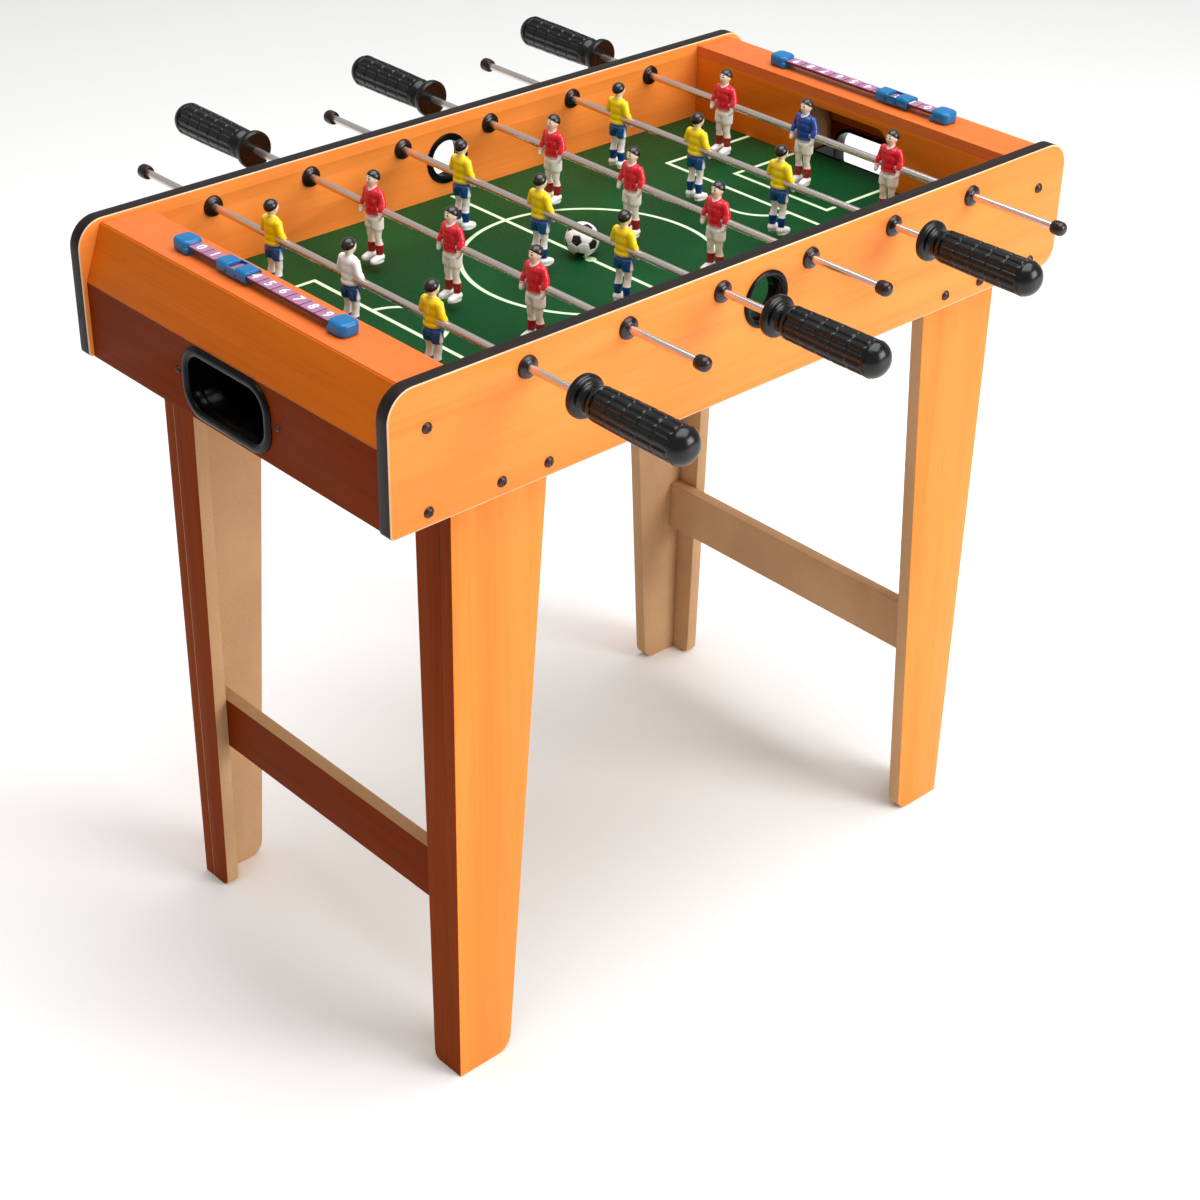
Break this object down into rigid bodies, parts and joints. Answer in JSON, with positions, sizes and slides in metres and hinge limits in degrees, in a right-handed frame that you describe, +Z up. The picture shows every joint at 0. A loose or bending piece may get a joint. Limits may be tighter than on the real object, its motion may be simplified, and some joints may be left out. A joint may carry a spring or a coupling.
{
  "type": "foosball table",
  "caption": "Four-legged table football game: sliding, turning rods of moulded men over a walled green field, with goals, ball cups and score counters.",
  "frame": {"origin": "on the floor, under the middle of the playing field", "axes": "+X along the table towards the end that the near team's men face, +Y across the table away from the side with the near team's handles, +Z up"},
  "size_m": [0.69, 0.688, 0.632],
  "materials": {
    "laminate": "satin wood-grain laminate over fibreboard",
    "raw_board": "bare fibreboard",
    "field_print": "printed green sheet, light sheen",
    "black_plastic": "moulded, glossy",
    "dark_plastic": "moulded, glossy dark brown",
    "rod_steel": "bright plated",
    "men_yellow": "painted, semi-gloss",
    "men_red": "painted, semi-gloss",
    "ball_white": "smooth, black patches",
    "screw_steel": "dark bronze",
    "counter_blue": "moulded, glossy",
    "counter_bar": "printed scale"
  },
  "bodies": {
    "table": {"side_panel_near": "laminate", "side_panel_far": "laminate", "end_cover_left": "laminate", "end_cover_right": "laminate", "inner_wall_left": "laminate", "inner_wall_right": "laminate", "corner_blocks": "raw_board", "goal_cheeks": "raw_board", "field_rails": "raw_board", "playfield": "field_print", "ball_cup_left": "black_plastic", "ball_cup_right": "black_plastic", "ball_entries": "black_plastic", "bushings_near": "dark_plastic", "bushings_far": "dark_plastic", "leg_near_left_side": "laminate", "leg_near_left_end": "laminate", "leg_near_right_side": "laminate", "leg_near_right_end": "laminate", "leg_far_left_side": "laminate", "leg_far_left_end": "laminate", "leg_far_right_side": "laminate", "leg_far_right_end": "laminate", "stretcher_left": "laminate", "stretcher_right": "laminate", "panel_screws": "screw_steel", "cup_screws": "screw_steel", "counter_posts": "counter_blue", "counter_bar_left": "counter_bar", "counter_bar_right": "counter_bar"},
    "rod_cap_1": {"end_cap_1": "dark_plastic"},
    "rod_1": {"rod_tube_1": "rod_steel", "handle_1": "black_plastic", "men_1": "men_yellow"},
    "rod_cap_2": {"end_cap_2": "dark_plastic"},
    "rod_2": {"rod_tube_2": "rod_steel", "handle_2": "black_plastic", "men_2": "men_red"},
    "rod_cap_3": {"end_cap_3": "dark_plastic"},
    "rod_3": {"rod_tube_3": "rod_steel", "handle_3": "black_plastic", "men_3": "men_yellow"},
    "rod_cap_4": {"end_cap_4": "dark_plastic"},
    "rod_4": {"rod_tube_4": "rod_steel", "handle_4": "black_plastic", "men_4": "men_red"},
    "rod_cap_5": {"end_cap_5": "dark_plastic"},
    "rod_5": {"rod_tube_5": "rod_steel", "handle_5": "black_plastic", "men_5": "men_yellow"},
    "rod_cap_6": {"end_cap_6": "dark_plastic"},
    "rod_6": {"rod_tube_6": "rod_steel", "handle_6": "black_plastic", "men_6": "men_red"},
    "ball": {"ball": "ball_white"},
    "marker_left": {"counter_marker_left": "counter_blue"},
    "marker_right": {"counter_marker_right": "counter_blue"}
  },
  "joints": [
    {"name": "rod_1_slide", "type": "slide", "parent": "table", "child": "rod_cap_1", "axis": [0, 1, 0], "range_m": [-0.057, 0.047]},
    {"name": "rod_1_spin", "type": "hinge", "parent": "rod_cap_1", "child": "rod_1", "pos_m": [-0.2275, 0, 0.603], "axis": [0, 1, 0], "continuous": true},
    {"name": "rod_2_slide", "type": "slide", "parent": "table", "child": "rod_cap_2", "axis": [0, 1, 0], "range_m": [-0.054, 0.05]},
    {"name": "rod_2_spin", "type": "hinge", "parent": "rod_cap_2", "child": "rod_2", "pos_m": [-0.1365, 0, 0.603], "axis": [0, 1, 0], "continuous": true},
    {"name": "rod_3_slide", "type": "slide", "parent": "table", "child": "rod_cap_3", "axis": [0, 1, 0], "range_m": [-0.06, 0.044]},
    {"name": "rod_3_spin", "type": "hinge", "parent": "rod_cap_3", "child": "rod_3", "pos_m": [-0.0455, 0, 0.603], "axis": [0, 1, 0], "continuous": true},
    {"name": "rod_4_slide", "type": "slide", "parent": "table", "child": "rod_cap_4", "axis": [0, 1, 0], "range_m": [-0.055, 0.049]},
    {"name": "rod_4_spin", "type": "hinge", "parent": "rod_cap_4", "child": "rod_4", "pos_m": [0.0455, 0, 0.603], "axis": [0, 1, 0], "continuous": true},
    {"name": "rod_5_slide", "type": "slide", "parent": "table", "child": "rod_cap_5", "axis": [0, 1, 0], "range_m": [-0.076, 0.028]},
    {"name": "rod_5_spin", "type": "hinge", "parent": "rod_cap_5", "child": "rod_5", "pos_m": [0.1365, 0, 0.603], "axis": [0, 1, 0], "continuous": true},
    {"name": "rod_6_slide", "type": "slide", "parent": "table", "child": "rod_cap_6", "axis": [0, 1, 0], "range_m": [-0.042, 0.062]},
    {"name": "rod_6_spin", "type": "hinge", "parent": "rod_cap_6", "child": "rod_6", "pos_m": [0.2275, 0, 0.603], "axis": [0, 1, 0], "continuous": true},
    {"name": "ball_roll", "type": "slide", "parent": "table", "child": "ball", "axis": [0, 1, 0], "range_m": [-0.158, 0.138]},
    {"name": "marker_left_slide", "type": "slide", "parent": "table", "child": "marker_left", "axis": [0, 1, 0], "range_m": [-0.091, 0.035]},
    {"name": "marker_right_slide", "type": "slide", "parent": "table", "child": "marker_right", "axis": [0, 1, 0], "range_m": [-0.024, 0.102]}
  ]
}
